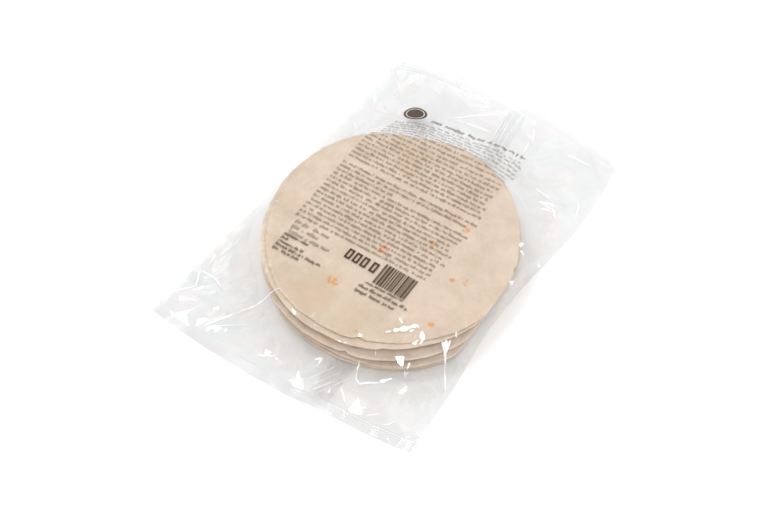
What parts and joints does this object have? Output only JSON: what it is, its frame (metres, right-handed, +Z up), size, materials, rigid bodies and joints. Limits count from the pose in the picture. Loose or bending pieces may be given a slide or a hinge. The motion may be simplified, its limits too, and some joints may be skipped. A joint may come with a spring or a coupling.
{
  "type": "bag of flour tortillas",
  "caption": "Clear sealed plastic bag lying flat over a round stack of flour tortillas, with loose film flaps, side folds and crimped end seals.",
  "frame": {"origin": "middle of the bag's footprint, on the ground", "axes": "+X across the bag in the direction the print reads, +Y along the bag towards the far end seal, +Z up"},
  "size_m": [0.1874, 0.266, 0.027],
  "materials": {
    "film": "clear gloss film",
    "tortilla": "matt floury bread",
    "ink": "dark brown print"
  },
  "bodies": {
    "root": {"sealed_bag": "film"}
  },
  "joints": []
}
